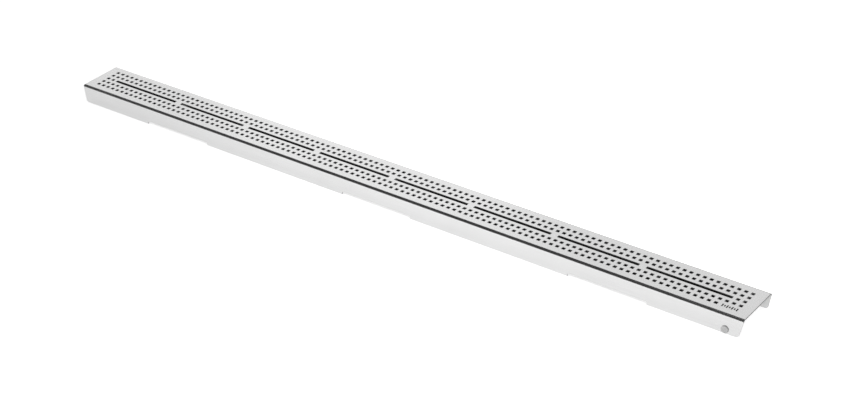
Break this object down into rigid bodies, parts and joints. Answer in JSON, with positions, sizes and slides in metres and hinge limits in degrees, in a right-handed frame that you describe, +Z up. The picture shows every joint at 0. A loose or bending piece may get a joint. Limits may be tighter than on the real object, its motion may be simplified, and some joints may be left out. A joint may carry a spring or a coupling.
{
  "type": "floor drain grate",
  "caption": "Long folded stainless grate for a linear floor drain: perforated plate with a row of slots, leaning skirts that stand on feet, stiffening bars below and rubber buffers.",
  "frame": {"origin": "middle of the rectangle the grate stands on, at the height of its feet", "axes": "+X along the grate, towards the end with the blank corner and the mark; +Y across it, towards the back; +Z up, out of the walking surface"},
  "size_m": [0.943, 0.0672, 0.0225],
  "materials": {
    "sheet_steel": "fine satin, brushed along the length",
    "brace_steel": "plain mill finish",
    "buffer_rubber": "matt"
  },
  "bodies": {
    "root": {"grate_sheet": "sheet_steel", "cross_brace_1": "brace_steel", "cross_brace_2": "brace_steel", "cross_brace_3": "brace_steel", "cross_brace_4": "brace_steel", "cross_brace_5": "brace_steel", "cross_brace_6": "brace_steel", "cross_brace_7": "brace_steel", "buffer_front_right": "buffer_rubber", "buffer_back_left": "buffer_rubber"}
  },
  "joints": []
}
